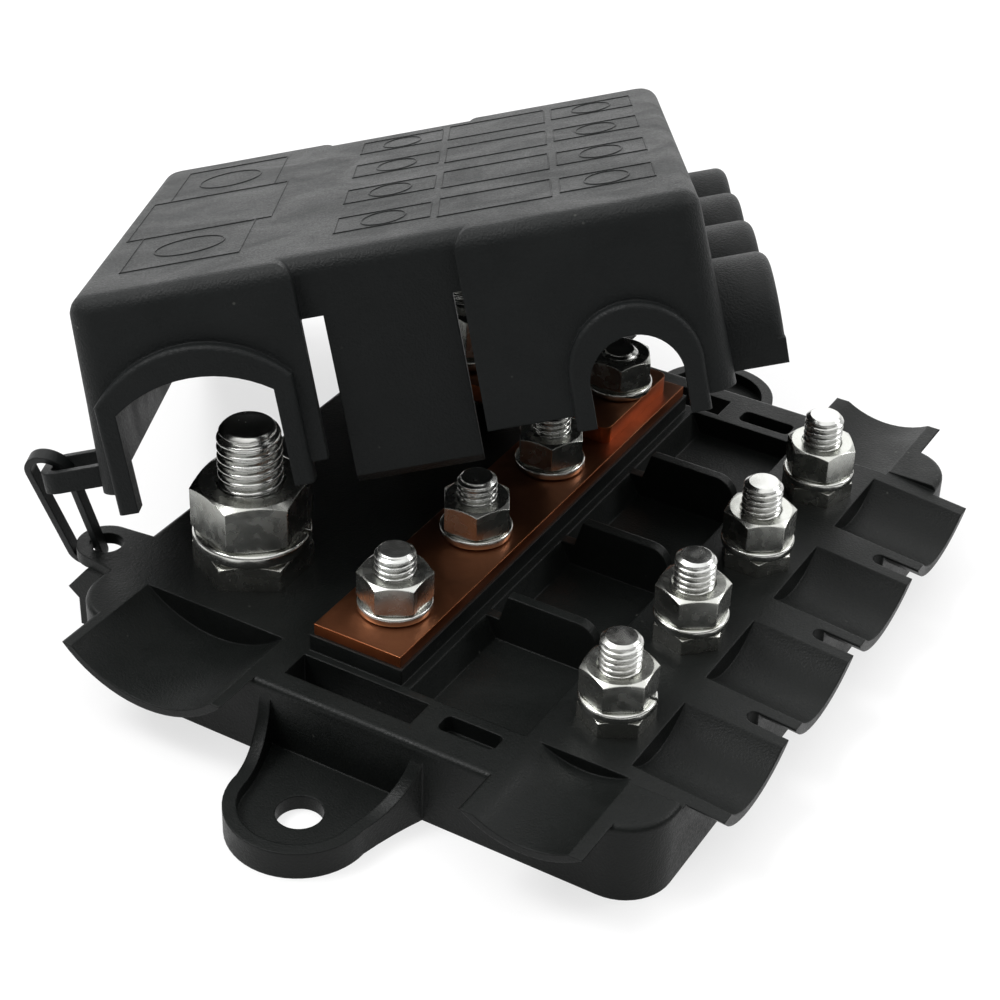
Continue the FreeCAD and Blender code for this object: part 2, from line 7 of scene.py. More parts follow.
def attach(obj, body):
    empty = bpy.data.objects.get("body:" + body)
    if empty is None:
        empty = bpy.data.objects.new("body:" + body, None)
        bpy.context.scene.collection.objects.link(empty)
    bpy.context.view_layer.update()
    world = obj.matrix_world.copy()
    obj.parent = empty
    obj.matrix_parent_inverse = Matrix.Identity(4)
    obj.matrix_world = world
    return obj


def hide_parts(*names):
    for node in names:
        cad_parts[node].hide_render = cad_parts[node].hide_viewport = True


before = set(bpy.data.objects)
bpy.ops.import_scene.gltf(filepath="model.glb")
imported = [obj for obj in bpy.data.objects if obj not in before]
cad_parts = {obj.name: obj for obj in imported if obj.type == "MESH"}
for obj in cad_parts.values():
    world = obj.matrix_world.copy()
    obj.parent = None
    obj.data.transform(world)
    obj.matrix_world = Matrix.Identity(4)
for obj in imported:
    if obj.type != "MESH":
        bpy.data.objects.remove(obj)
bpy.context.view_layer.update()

# The tray is one moulding of black glass-filled nylon: a deck on a skirt, with the fuse
# bays, cable troughs, outlet cradles, fixing ears and the tether lug formed in it.
# It lies loose on the bench, and everything else is mounted on it.
moulding_crease = 28
weld_distance = 1e-6
nylon_ior = 1.53


def linear(hex_colour):
    """An sRGB hex colour as the linear value a shader socket takes."""
    parts = [int(hex_colour[i:i + 2], 16) / 255 for i in (1, 3, 5)]
    values = [c / 12.92 if c <= 0.04045 else ((c + 0.055) / 1.055) ** 2.4 for c in parts]
    return (*values, 1.0)


def add(tree, kind, links=None, **settings):
    """One node with its settings. Each input is set, or linked to a socket or to several in a
    list, and a node given instead of a socket stands for its first output."""
    made = tree.nodes.new(kind)
    for key, value in settings.items():
        setattr(made, key, value)
    for key, value in (links or {}).items():
        for source in value if isinstance(value, list) else [value]:
            if isinstance(source, bpy.types.Node):
                source = source.outputs[0]
            if isinstance(source, bpy.types.NodeSocket):
                tree.links.new(source, made.inputs[key])
            else:
                made.inputs[key].default_value = source
    return made


def new_finish(name):
    """An empty material with its shader, and the piece's own coordinates in metres."""
    finish = bpy.data.materials.new(name)
    finish.use_nodes = True
    tree = finish.node_tree
    tree.nodes.clear()
    shader = add(tree, "ShaderNodeBsdfPrincipled")
    add(tree, "ShaderNodeOutputMaterial", {"Surface": shader})
    place = add(tree, "ShaderNodeTexCoord").outputs["Object"]
    return finish, tree, shader, place


def moulded_nylon(name, dark, pale, smooth, rough, grain_mm, grain_depth, shine):
    """Glass-filled nylon from a spark-eroded tool: a satin black with a fine even grain,
    faint paler flow marks where the fibre reaches the skin, and a few specks of dust.
    Its shine is well below a clear plastic's, so that it greys only at a slant. The real
    grain is finer than 0.1 mm, and is drawn coarser so that it shows."""
    flow_mark_length = 0.011
    dust_spacing = 0.0031
    grain_height = 0.00012
    corner_radius = 0.0003
    finish, tree, shader, place = new_finish(name)
    shader.inputs["IOR"].default_value = nylon_ior
    shader.inputs["Specular IOR Level"].default_value = shine
    flow = add(tree, "ShaderNodeTexNoise", {
        "Vector": place, "Scale": 1 / flow_mark_length, "Detail": 5.0, "Roughness": 0.62,
        "Distortion": 0.9})
    grain = add(tree, "ShaderNodeTexNoise", {
        "Vector": place, "Scale": 1000 / grain_mm, "Detail": 3.0, "Roughness": 0.55})
    dust = add(tree, "ShaderNodeTexVoronoi", {
        "Vector": place, "Scale": 1 / dust_spacing, "Randomness": 1.0})
    speck = add(tree, "ShaderNodeMapRange", {
        "Value": dust, "From Min": 0.035, "From Max": 0.07, "To Min": 1.0, "To Max": 0.0})
    patch = add(tree, "ShaderNodeMapRange", {"Value": flow, "From Min": 0.50, "From Max": 0.62})
    dusty = add(tree, "ShaderNodeMath", {0: speck, 1: patch}, operation="MULTIPLY")
    skin = add(tree, "ShaderNodeMix", {
        "Factor": flow, "A": linear(dark), "B": linear(pale)}, data_type="RGBA")
    specked = add(tree, "ShaderNodeMix", {
        "Factor": dusty, "A": skin.outputs["Result"], "B": linear("#3e3f3c")}, data_type="RGBA")
    tree.links.new(specked.outputs["Result"], shader.inputs["Base Color"])
    mottle = add(tree, "ShaderNodeMath", {0: flow, 1: grain}, operation="ADD")
    gloss = add(tree, "ShaderNodeMapRange", {
        "Value": mottle, "From Min": 0.75, "From Max": 1.25, "To Min": smooth, "To Max": rough})
    tree.links.new(gloss.outputs["Result"], shader.inputs["Roughness"])
    soft_edge = add(tree, "ShaderNodeBevel", {"Radius": corner_radius}, samples=6)
    relief = add(tree, "ShaderNodeBump", {
        "Height": grain, "Strength": grain_depth, "Distance": grain_height, "Normal": soft_edge})
    tree.links.new(relief.outputs["Normal"], shader.inputs["Normal"])
    return finish


def show(mesh, name, crease_deg):
    """Puts a finished mesh in the scene, smooth apart from edges sharper than the crease."""
    mesh.shade_smooth()
    mesh.set_sharp_from_angle(angle=math.radians(crease_deg))
    piece = bpy.data.objects.new(name, mesh)
    bpy.context.scene.collection.objects.link(piece)
    return piece


def welded_copy(node, name, material):
    """A moulding's own surface with its triangles joined, so that its curves shade smoothly."""
    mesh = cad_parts[node].data.copy()
    mesh.name = name
    mesh.attributes.remove(mesh.attributes["custom_normal"])
    work = bmesh.new()
    work.from_mesh(mesh)
    bmesh.ops.remove_doubles(work, verts=work.verts, dist=weld_distance)
    work.to_mesh(mesh)
    work.free()
    mesh.materials.clear()
    mesh.materials.append(material)
    return show(mesh, name, moulding_crease)


tray_nylon = moulded_nylon(
    "satin_moulded_nylon", "#0c0e0d", "#151716", smooth=0.32, rough=0.52,
    grain_mm=0.28, grain_depth=0.45, shine=0.13)
tray = welded_copy("base_tray", "tray_moulding", tray_nylon)
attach(tray, "tray")
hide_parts("base_tray")

# The cover is a second moulding of the same nylon from a coarser tool, so it is more matt.
# It is a box shell with cable arches, spring tongues and outlet hoods, and hangs open by
# its tether ring. Raised outlines on its top mark the place of each stud and fuse.
cover_nylon = moulded_nylon(
    "matt_moulded_nylon", "#0f1111", "#181a1a", smooth=0.38, rough=0.60,
    grain_mm=0.28, grain_depth=0.9, shine=0.14)
cover = welded_copy("cover", "cover_moulding", cover_nylon)
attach(cover, "cover")
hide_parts("cover")


def new_pattern(name, sizes):
    """An empty geometry tree with named size inputs."""
    tree = bpy.data.node_groups.new(name, "GeometryNodeTree")
    tree.interface.new_socket("Geometry", in_out="OUTPUT", socket_type="NodeSocketGeometry")
    for title, kind in sizes:
        tree.interface.new_socket(title, in_out="INPUT", socket_type="NodeSocket" + kind)
    return tree, add(tree, "NodeGroupInput").outputs


def finish_pattern(tree, geometry, material):
    """Every tree ends in real geometry with its material."""
    solid = add(tree, "GeometryNodeRealizeInstances", {"Geometry": geometry})
    painted = add(tree, "GeometryNodeSetMaterial", {"Geometry": solid, "Material": material})
    add(tree, "NodeGroupOutput", {"Geometry": painted})


def grown(tree, name, sizes, crease_deg, place=Matrix()):
    """Runs a geometry tree once with these sizes and keeps the plain mesh that it makes. The
    points of a row leave an empty slot before the tree's material, and it is taken out."""
    seed = bpy.data.objects.new(name, bpy.data.meshes.new(name))
    bpy.context.scene.collection.objects.link(seed)
    pattern = seed.modifiers.new(name, "NODES")
    pattern.node_group = tree
    for socket in tree.interface.items_tree:
        if socket.in_out == "INPUT":
            pattern[socket.identifier] = sizes[socket.name]
    bpy.context.view_layer.update()
    evaluated = seed.evaluated_get(bpy.context.evaluated_depsgraph_get())
    mesh = bpy.data.meshes.new_from_object(evaluated)
    bpy.data.objects.remove(seed)
    if mesh.materials[0] is None:
        mesh.materials.pop(index=0)
    mesh.transform(place)
    return show(mesh, name, crease_deg)


cover_place = Matrix.Translation((-0.03645, -0.04087, 0.0246))
for angle, axis in ((33.223, "Z"), (-11.541, "Y"), (-15.619, "X")):
    cover_place = cover_place @ Matrix.Rotation(math.radians(angle), 4, axis)

outline, size = new_pattern("raised_outline", (
    ("Width", "Float"), ("Length", "Float"), ("Oval Width", "Float"), ("Oval Length", "Float"),
    ("Line", "Float"), ("Count", "Int"), ("Start", "Vector"), ("Step", "Vector")))
frame_line = add(outline, "GeometryNodeCurvePrimitiveQuadrilateral", {
    "Width": size["Width"], "Height": size["Length"]})
unit_circle = add(outline, "GeometryNodeCurvePrimitiveCircle", {"Resolution": 64, "Radius": 0.5})
oval_size = add(outline, "ShaderNodeCombineXYZ", {
    "X": size["Oval Width"], "Y": size["Oval Length"], "Z": 1.0})
oval = add(outline, "GeometryNodeTransform", {"Geometry": unit_circle, "Scale": oval_size})
has_oval = add(outline, "FunctionNodeCompare", {
    "A": size["Oval Width"], "B": 0.0}, operation="GREATER_THAN")
any_oval = add(outline, "GeometryNodeSwitch", {
    "Switch": has_oval, "True": oval}, input_type="GEOMETRY")
both = add(outline, "GeometryNodeJoinGeometry", {"Geometry": [frame_line, any_oval]})
bead = add(outline, "GeometryNodeCurvePrimitiveCircle", {"Resolution": 6, "Radius": size["Line"]})
ridge = add(outline, "GeometryNodeCurveToMesh", {"Curve": both, "Profile Curve": bead})
row = add(outline, "GeometryNodeMeshLine", {
    "Count": size["Count"], "Start Location": size["Start"], "Offset": size["Step"]})
laid = add(outline, "GeometryNodeInstanceOnPoints", {"Points": row, "Instance": ridge})
finish_pattern(outline, laid, cover_nylon)

cover_top = 0.0236
line_radius = 0.00013
mark_pitch = 0.0180
mark_crease = 60
# Each row: name, frame width and length, oval width and length, how many, x, first y. A
# label frame has no oval.
for name, width, length, oval_width, oval_length, count, x, y in (
    ("feed_mark_front", 0.0146, 0.0193, 0.0088, 0.0096, 1, 0.0133, 0.0219),
    ("feed_label_frame", 0.0188, 0.0240, 0.0, 0.0, 1, 0.0132, 0.0437),
    ("feed_mark_rear", 0.0146, 0.0212, 0.0088, 0.0110, 1, 0.0133, 0.0664),
    ("outlet_mark", 0.0117, 0.0089, 0.0055, 0.0074, 4, 0.0379, 0.0176),
    ("fuse_label_frame", 0.0138, 0.0110, 0.0, 0.0, 4, 0.0516, 0.0176),
    ("bus_mark", 0.0115, 0.0090, 0.0055, 0.0074, 4, 0.0653, 0.0180),
):
    mark = grown(outline, name, {
        "Width": width, "Length": length, "Oval Width": oval_width, "Oval Length": oval_length,
        "Line": line_radius, "Count": count, "Start": (x, y, cover_top),
        "Step": (0.0, mark_pitch, 0.0)}, mark_crease, cover_place)
    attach(mark, "cover")

# The tether link is a small closed band of nylon, pushed through the lug's eye and the
# cover's ring, so that the open cover can't be lost. It has less grain than either moulding.
link_nylon = moulded_nylon(
    "flexible_nylon", "#101212", "#1a1c1c", smooth=0.36, rough=0.50,
    grain_mm=0.30, grain_depth=0.3, shine=0.15)
link = welded_copy("tether_link", "tether_band", link_nylon)
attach(link, "link")
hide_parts("tether_link")

# The bus bar and the link bar are sheared from rolled copper strip and lie under the nuts.
# Their faces have a brown rubbed patina with faint marks along the strip from rolling, and
# their sheared edges are painted a brighter orange, partly for the fresh cut copper and partly
# as a painted highlight for the sheen they catch. The marks are drawn coarser than life, so
# that they show.
stain_size = 0.006
roll_marks_per_metre = (900.0, 60.0, 900.0)
roll_mark_depth = 0.00004
sheared_edge_radius = 0.00015
copper, tree, shader, place = new_finish("rolled_copper")
shader.inputs["Metallic"].default_value = 1.0
stretched = add(tree, "ShaderNodeMapping", {"Vector": place, "Scale": roll_marks_per_metre})
rolling = add(tree, "ShaderNodeTexNoise", {"Vector": stretched, "Scale": 1.0, "Detail": 4.0})
stain = add(tree, "ShaderNodeTexNoise", {
    "Vector": place, "Scale": 1 / stain_size, "Detail": 6.0, "Roughness": 0.65,
    "Distortion": 0.8})
facing = add(tree, "ShaderNodeNewGeometry").outputs["True Normal"]
upward = add(tree, "ShaderNodeSeparateXYZ", {"Vector": facing}).outputs["Z"]
face = add(tree, "ShaderNodeMath", {0: upward}, operation="ABSOLUTE")
patina = add(tree, "ShaderNodeMix", {
    "Factor": stain, "A": linear("#653a25"), "B": linear("#9b6647")}, data_type="RGBA")
# The upright sides of the strip take a brighter orange: partly fresh cut copper, partly a painted
# highlight for the sheen on the sheared edges.
cut_edge_and_sheen = add(tree, "ShaderNodeMix", {
    "Factor": face, "A": linear("#a05a36"), "B": patina.outputs["Result"]}, data_type="RGBA")
tree.links.new(cut_edge_and_sheen.outputs["Result"], shader.inputs["Base Color"])
dull = add(tree, "ShaderNodeMapRange", {
    "Value": stain, "From Min": 0.3, "From Max": 0.7, "To Min": 0.46, "To Max": 0.28})
tree.links.new(dull.outputs["Result"], shader.inputs["Roughness"])
soft = add(tree, "ShaderNodeBevel", {"Radius": sheared_edge_radius}, samples=6)
scored = add(tree, "ShaderNodeBump", {
    "Height": rolling, "Strength": 0.3, "Distance": roll_mark_depth, "Normal": soft})
tree.links.new(scored.outputs["Normal"], shader.inputs["Normal"])
for node in ("bus_bar", "link_bar"):
    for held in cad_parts[node].material_slots:
        held.material = copper

# The studs are steel with rolled threads and a bright zinc plate, moulded into the tray.
# The two feed studs are M8, and the four outlet and four bus bar studs are M5. The feed and
# outlet studs stand in hexagon collars, and the bus bar's come up through the bar.
ways = 4
outlet_pitch = 0.0186
row_start = (1 - ways) / 2 * outlet_pitch
row_y = [row_start + k * outlet_pitch for k in range(ways)]
outlet_x, bus_x, feed_x, feed_y = 0.0267, -0.0033, -0.0257, 0.0255
deck_top, small_collar_top, large_collar_top = 0.0105, 0.0129, 0.0142
small_flats, large_flats = 0.008, 0.013


def zinc_plate(name, pale, tint, smooth, rough):
    """Bright zinc on steel: a cool skin like a dull mirror, with faint straw clouds."""
    cloud_size = 0.004
    rub_size = 0.0014
    rub_depth = 0.00001
    edge_radius = 0.00016
    finish, tree, shader, place = new_finish(name)
    shader.inputs["Metallic"].default_value = 1.0
    cloud = add(tree, "ShaderNodeTexNoise", {
        "Vector": place, "Scale": 1 / cloud_size, "Detail": 4.0, "Distortion": 0.5})
    skin = add(tree, "ShaderNodeMix", {
        "Factor": cloud, "A": linear(pale), "B": linear(tint)}, data_type="RGBA")
    tree.links.new(skin.outputs["Result"], shader.inputs["Base Color"])
    rubbed = add(tree, "ShaderNodeTexNoise", {
        "Vector": place, "Scale": 1 / rub_size, "Detail": 1.5})
    gloss = add(tree, "ShaderNodeMapRange", {
        "Value": rubbed, "From Min": 0.3, "From Max": 0.7, "To Min": smooth, "To Max": rough})
    tree.links.new(gloss.outputs["Result"], shader.inputs["Roughness"])
    edge = add(tree, "ShaderNodeBevel", {"Radius": edge_radius}, samples=6)
    relief = add(tree, "ShaderNodeBump", {
        "Height": rubbed, "Strength": 0.03, "Distance": rub_depth, "Normal": edge})
    tree.links.new(relief.outputs["Normal"], shader.inputs["Normal"])
    return finish


stud_zinc = zinc_plate("zinc_plated_thread", "#cfd1d0", "#bdbcb6", 0.18, 0.28)
collar_zinc = zinc_plate("zinc_plated_collar", "#cfd0cc", "#b3b2a8", 0.22, 0.30)

# A thread starts as a flat grid: x goes once round the stud and y goes up it.
thread, size = new_pattern("rolled_thread", (
    ("Diameter", "Float"), ("Pitch", "Float"), ("Depth", "Float"), ("Bottom", "Float"),
    ("Top", "Float"), ("Tip", "Float"), ("Tip Curve", "Float"), ("Rings", "Int"),
    ("Count", "Int"), ("Start", "Vector"), ("Step", "Vector")))
round_steps = 60
end_drop_in_depths = 1.4
seam_distance = 0.000008
skin_grid = add(thread, "GeometryNodeMeshGrid", {
    "Size X": 1.0, "Size Y": 1.0, "Vertices X": round_steps + 1, "Vertices Y": size["Rings"]})
on_grid = add(thread, "GeometryNodeInputPosition")
at = add(thread, "ShaderNodeSeparateXYZ", {"Vector": on_grid}).outputs
round_part = add(thread, "ShaderNodeMath", {0: at["X"], 1: 0.5}, operation="ADD")
rise = add(thread, "ShaderNodeMath", {0: at["Y"], 1: 0.5}, operation="ADD")
rod_length = add(thread, "ShaderNodeMath", {
    0: size["Top"], 1: size["Bottom"]}, operation="SUBTRACT")
height = add(thread, "ShaderNodeMath", {
    0: rise, 1: rod_length, 2: size["Bottom"]}, operation="MULTIPLY_ADD")
# The crest climbs one pitch in a turn, and the flanks slope evenly to a rounded root.
pitches_up = add(thread, "ShaderNodeMath", {0: height, 1: size["Pitch"]}, operation="DIVIDE")
past_crest = add(thread, "ShaderNodeMath", {0: pitches_up, 1: round_part}, operation="SUBTRACT")
phase = add(thread, "ShaderNodeMath", {0: past_crest}, operation="FRACT")
centred = add(thread, "ShaderNodeMath", {0: phase, 1: 2.0, 2: -1.0}, operation="MULTIPLY_ADD")
off_middle = add(thread, "ShaderNodeMath", {0: centred}, operation="ABSOLUTE")
slope = add(thread, "ShaderNodeMath", {0: 1.0, 1: off_middle}, operation="SUBTRACT")
flank = add(thread, "ShaderNodeMapRange", {
    "Value": slope, "From Min": 0.14, "From Max": 0.86}, interpolation_type="SMOOTHSTEP")
outer_radius = add(thread, "ShaderNodeMath", {0: size["Diameter"], 1: 0.5}, operation="MULTIPLY")
root_radius = add(thread, "ShaderNodeMath", {
    0: outer_radius, 1: size["Depth"]}, operation="SUBTRACT")
thread_radius = add(thread, "ShaderNodeMath", {
    0: flank, 1: size["Depth"], 2: root_radius}, operation="MULTIPLY_ADD")
# The tip is drawn in along a curve, straight on the small studs and domed on the large.
tip_start = add(thread, "ShaderNodeMath", {0: size["Top"], 1: size["Tip"]}, operation="SUBTRACT")
past_start = add(thread, "ShaderNodeMath", {0: height, 1: tip_start}, operation="SUBTRACT")
into_tip = add(thread, "ShaderNodeMath", {0: past_start, 1: 0.0}, operation="MAXIMUM")
tip_share = add(thread, "ShaderNodeMath", {0: into_tip, 1: size["Tip"]}, operation="DIVIDE")
bend = add(thread, "ShaderNodeMath", {0: tip_share, 1: size["Tip Curve"]}, operation="POWER")
end_drop = add(thread, "ShaderNodeMath", {
    0: size["Depth"], 1: end_drop_in_depths}, operation="MULTIPLY")
tip_drop = add(thread, "ShaderNodeMath", {0: bend, 1: end_drop}, operation="MULTIPLY")
tip_radius = add(thread, "ShaderNodeMath", {0: outer_radius, 1: tip_drop}, operation="SUBTRACT")
radius = add(thread, "ShaderNodeMath", {0: thread_radius, 1: tip_radius}, operation="MINIMUM")
turn = add(thread, "ShaderNodeMath", {0: round_part, 1: math.tau}, operation="MULTIPLY")
cosine = add(thread, "ShaderNodeMath", {0: turn}, operation="COSINE")
sine = add(thread, "ShaderNodeMath", {0: turn}, operation="SINE")
east = add(thread, "ShaderNodeMath", {0: radius, 1: cosine}, operation="MULTIPLY")
north = add(thread, "ShaderNodeMath", {0: radius, 1: sine}, operation="MULTIPLY")
spot = add(thread, "ShaderNodeCombineXYZ", {"X": east, "Y": north, "Z": height})
wrapped = add(thread, "GeometryNodeSetPosition", {"Geometry": skin_grid, "Position": spot})
end_radius = add(thread, "ShaderNodeMath", {0: outer_radius, 1: end_drop}, operation="SUBTRACT")
end_face = add(thread, "GeometryNodeMeshCircle", {
    "Vertices": round_steps, "Radius": end_radius}, fill_type="NGON")
end_lift = add(thread, "ShaderNodeCombineXYZ", {"Z": size["Top"]})
end_set = add(thread, "GeometryNodeTransform", {"Geometry": end_face, "Translation": end_lift})
rod = add(thread, "GeometryNodeJoinGeometry", {"Geometry": [wrapped, end_set]})
closed = add(thread, "GeometryNodeMergeByDistance", {"Geometry": rod, "Distance": seam_distance})
stands = add(thread, "GeometryNodeMeshLine", {
    "Count": size["Count"], "Start Location": size["Start"], "Offset": size["Step"]})
planted = add(thread, "GeometryNodeInstanceOnPoints", {"Points": stands, "Instance": closed})
finish_pattern(thread, planted, stud_zinc)


def hexagon_piece(name, flats, low, high, bore, both_faces, spots, material):
    """Turned and chamfered hexagon bar with a countersunk bore: a nut is chamfered on both
    faces, and a collar on the upper one only. Each spot is x, y and the turn in degrees."""
    steps = 72
    crease_deg = 24
    chamfer_start = flats / 2 * 0.97
    chamfer_slope = math.tan(math.radians(28))
    sink_radius = bore * 1.13
    sink_depth = bore * 0.14
    mesh = bpy.data.meshes.new(name)
    work = bmesh.new()
    for x, y, turned in spots:
        rings = [[] for _ in range(8)]
        for k in range(steps):
            angle = math.tau * k / steps
            reach = flats / 2 / math.cos((angle + math.pi / 6) % (math.pi / 3) - math.pi / 6)
            drop = max(0.0, reach - chamfer_start) * chamfer_slope
            lower_drop = drop if both_faces else 0.0
            section = (
                (bore, low + sink_depth), (sink_radius, low), (chamfer_start, low),
                (reach, low + lower_drop), (reach, high - drop), (chamfer_start, high),
                (sink_radius, high), (bore, high - sink_depth))
            a = angle + math.radians(turned)
            for ring, (r, z) in zip(rings, section):
                ring.append(work.verts.new((x + r * math.cos(a), y + r * math.sin(a), z)))
        for low_ring, high_ring in zip(rings, rings[1:] + rings[:1]):
            for k in range(steps):
                work.faces.new((low_ring[k], low_ring[k - 1], high_ring[k - 1], high_ring[k]))
    bmesh.ops.recalc_face_normals(work, faces=work.faces)
    work.to_mesh(mesh)
    work.free()
    mesh.materials.append(material)
    return show(mesh, name, crease_deg)


def joined(name, pieces):
    """Several meshes that are one piece of metal, as one object."""
    with bpy.context.temp_override(active_object=pieces[0], selected_editable_objects=pieces):
        bpy.ops.object.join()
    pieces[0].name = name
    return pieces[0]


small_rod = {
    "Diameter": 0.005, "Pitch": 0.0008, "Depth": 0.00046, "Tip": 0.0005, "Tip Curve": 1.1,
    "Rings": 150, "Count": ways, "Step": (0.0, outlet_pitch, 0.0)}
large_rod = {
    "Diameter": 0.008, "Pitch": 0.00125, "Depth": 0.00072, "Tip": 0.0030, "Tip Curve": 4.0,
    "Rings": 190, "Count": 1, "Step": (0.0, 0.0, 0.0)}
small_tip_crease, large_tip_crease = 30, 50

outlet_rod = dict(small_rod, Bottom=0.0110, Top=0.02205, Start=(outlet_x, row_start, 0.0))
outlet_threads = grown(thread, "outlet_threads", outlet_rod, small_tip_crease)
outlet_spots = [(outlet_x, y, turned) for y, turned in zip(row_y, (0.0, 14.0, 28.0, 42.0))]
outlet_collars = hexagon_piece(
    "outlet_collars", small_flats, deck_top, small_collar_top, bore=0.0023, both_faces=False,
    spots=outlet_spots, material=collar_zinc)
outlet_studs = joined("outlet_studs_threaded", [outlet_threads, outlet_collars])
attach(outlet_studs, "tray")
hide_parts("outlet_studs")

bus_rod = dict(small_rod, Bottom=0.0130, Top=0.0224, Start=(bus_x, row_start, 0.0))
bus_studs = grown(thread, "bus_studs_threaded", bus_rod, small_tip_crease)
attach(bus_studs, "tray")
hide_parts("bus_studs")

for end, y, turned in (("front", -feed_y, 2.0), ("rear", feed_y, 20.0)):
    feed_rod = dict(large_rod, Bottom=0.0110, Top=0.0306, Start=(feed_x, y, 0.0))
    feed_thread = grown(thread, "feed_thread_" + end, feed_rod, large_tip_crease)
    collar = hexagon_piece(
        "feed_collar_" + end, large_flats, deck_top, large_collar_top, bore=0.0037,
        both_faces=False, spots=[(feed_x, y, turned)], material=collar_zinc)
    feed_stud = joined("feed_stud_threaded_" + end, [feed_thread, collar])
    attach(feed_stud, "tray")
    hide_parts("feed_stud_" + end)

# Spring washers are wound from square spring wire and cut, so each shows a split. They are
# zinc plated and pressed nearly flat under the nuts, on the collars, the bus bar or, at the
# rear feed stud and the last bus bar stud, the link bar.
bar_top, link_top = 0.0142, 0.0166
bus_seats = (bar_top, bar_top, bar_top, link_top)
small_washer = {"outer": 0.0092, "inner": 0.0053, "height": 0.0012}
large_washer = {"outer": 0.0148, "inner": 0.0083, "height": 0.0020}
split_deg = 8
washer_zinc = zinc_plate("zinc_plated_spring_wire", "#d6d7d5", "#c0c0b8", 0.16, 0.28)
washer, size = new_pattern("split_washer", (
    ("Radius", "Float"), ("Width", "Float"), ("Height", "Float"), ("Edge", "Float"),
    ("Rise", "Float")))
coil = add(washer, "GeometryNodeCurveArc", {
    "Resolution": 72, "Radius": size["Radius"], "Start Angle": 0.0,
    "Sweep Angle": math.radians(360 - split_deg)})
along = add(washer, "GeometryNodeSplineParameter")
from_middle = add(washer, "ShaderNodeMath", {0: along, 1: 0.5}, operation="SUBTRACT")
climb = add(washer, "ShaderNodeMath", {0: from_middle, 1: size["Rise"]}, operation="MULTIPLY")
climb_step = add(washer, "ShaderNodeCombineXYZ", {"Z": climb})
lifted = add(washer, "GeometryNodeSetPosition", {"Geometry": coil, "Offset": climb_step})
wire = add(washer, "GeometryNodeCurvePrimitiveQuadrilateral", {
    "Width": size["Width"], "Height": size["Height"]})
eased = add(washer, "GeometryNodeFilletCurve", {
    "Curve": wire, "Radius": size["Edge"], "Count": 3}, mode="POLY")
wound = add(washer, "GeometryNodeCurveToMesh", {
    "Curve": lifted, "Profile Curve": eased, "Fill Caps": True})
finish_pattern(washer, wound, washer_zinc)


def spring_washers(name, node, outer, inner, height, spots):
    """Washers of one size, each turned as it came to rest. The wire is a little flatter than
    the washer is high, which leaves room for its rise from one end to the other."""
    sizes = {
        "Radius": (outer + inner) / 4, "Width": (outer - inner) / 2, "Height": height * 0.93,
        "Edge": height * 0.22, "Rise": height * 0.06}
    crease_deg = 40
    rings = []
    for x, y, seat, turned in spots:
        place = Matrix.Translation((x, y, seat + height / 2))
        place = place @ Matrix.Rotation(math.radians(turned), 4, "Z")
        rings.append(grown(washer, name, sizes, crease_deg, place))
    washers = joined(name, rings) if len(rings) > 1 else rings[0]
    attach(washers, "tray")
    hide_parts(node)


outlet_turns = (20.0, 55.0, 90.0, 125.0)
bus_turns = (60.0, 100.0, 140.0, 180.0)
spring_washers(
    "outlet_washers_split", "outlet_spring_washers", **small_washer,
    spots=[(outlet_x, y, small_collar_top, turned) for y, turned in zip(row_y, outlet_turns)])
spring_washers(
    "bus_washers_split", "bus_spring_washers", **small_washer,
    spots=[(bus_x, y, seat, turned) for y, seat, turned in zip(row_y, bus_seats, bus_turns)])
spring_washers(
    "feed_washer_split_front", "feed_spring_washer_front", **large_washer,
    spots=[(feed_x, -feed_y, large_collar_top, 24.0)])
spring_washers(
    "feed_washer_split_rear", "feed_spring_washer_rear", **large_washer,
    spots=[(feed_x, feed_y, link_top, 70.0)])

# The nuts are cold-formed steel, zinc plated, chamfered on both faces, with a short
# countersink at each end of the thread. Each is screwed down on its spring washer.
small_nut = {"flats": small_flats, "height": 0.004, "bore": 0.00235}
large_nut = {"flats": large_flats, "height": 0.0065, "bore": 0.0038}
nut_zinc = zinc_plate("zinc_plated_nut", "#c9cbc8", "#b4b4ac", 0.22, 0.30)


def nuts(name, node, flats, height, bore, spots):
    """Nuts of one size, each at the height of its own washer."""
    made = [
        hexagon_piece(name, flats, seat, seat + height, bore, True, [(x, y, turned)], nut_zinc)
        for x, y, seat, turned in spots]
    piece = joined(name, made) if len(made) > 1 else made[0]
    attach(piece, "tray")
    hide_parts(node)


outlet_turns = (5.0, 5.0, 5.0, 35.0)
bus_turns = (1.0, 31.0, 31.0, 31.0)
outlet_seat = small_collar_top + small_washer["height"]
bus_nut_seats = [seat + small_washer["height"] for seat in bus_seats]
nuts(
    "outlet_nuts_chamfered", "outlet_nuts", **small_nut,
    spots=[(outlet_x, y, outlet_seat, turned) for y, turned in zip(row_y, outlet_turns)])
nuts(
    "bus_nuts_chamfered", "bus_nuts", **small_nut,
    spots=[(bus_x, y, seat, turned) for y, seat, turned in zip(row_y, bus_nut_seats, bus_turns)])
nuts(
    "feed_nut_chamfered_front", "feed_nut_front", **large_nut,
    spots=[(feed_x, -feed_y, large_collar_top + large_washer["height"], 11.0)])
nuts(
    "feed_nut_chamfered_rear", "feed_nut_rear", **large_nut,
    spots=[(feed_x, feed_y, link_top + large_washer["height"], 29.0)])

